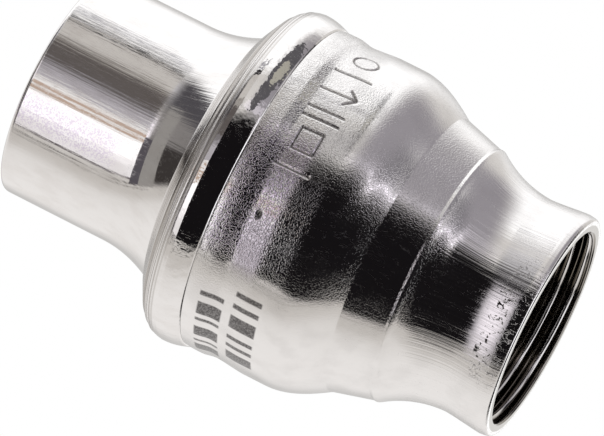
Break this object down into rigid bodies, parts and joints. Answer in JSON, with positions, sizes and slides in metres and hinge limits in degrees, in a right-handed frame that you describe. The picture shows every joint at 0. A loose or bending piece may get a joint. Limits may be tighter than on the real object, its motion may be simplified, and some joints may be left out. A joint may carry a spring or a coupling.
{
  "type": "check valve",
  "caption": "In-line spring check valve: pressed stainless steel shells joined by a rolled bead, pipe-threaded ends, sprung sliding poppet.",
  "frame": {"origin": "centre of the inlet end face, where the valve stands on its inlet neck", "axes": "+Z along the flow, from the inlet to the outlet"},
  "size_m": [0.0426, 0.0426, 0.065],
  "materials": {
    "shell_steel": "drawn stainless sheet, satin with fine axial brushing, rolled bead polished",
    "turned_steel": "turned stainless, fine concentric marks",
    "cast_steel": "cast stainless, blasted",
    "spring_steel": "drawn wire, bright",
    "black_rubber": "moulded nitrile, matt",
    "white_plastic": "machined acetal"
  },
  "bodies": {
    "valve_body": {"inlet_shell": "shell_steel", "outlet_shell": "shell_steel", "seat_ring": "turned_steel", "body_seal": "black_rubber", "joint_seal": "black_rubber", "guide_spider": "cast_steel", "guide_bush": "white_plastic", "spring_washer": "turned_steel", "spring": "spring_steel"},
    "spring_follower": {"spring_cup": "turned_steel"},
    "poppet": {"poppet_disc": "turned_steel", "poppet_seal": "black_rubber", "seal_retainer": "turned_steel", "poppet_stem": "turned_steel", "lock_washer": "spring_steel", "stem_nut": "turned_steel"}
  },
  "joints": [
    {"name": "poppet_lift", "type": "slide", "parent": "valve_body", "child": "spring_follower", "axis": [0, 0, 1], "range_m": [0, 0.0064], "stiffness_N_per_m": 600, "springref_m": -0.0015, "deforming": ["spring"]},
    {"name": "poppet_turn", "type": "hinge", "parent": "spring_follower", "child": "poppet", "pos_m": [0, 0, 0.03], "axis": [0, 0, 1], "continuous": true}
  ]
}
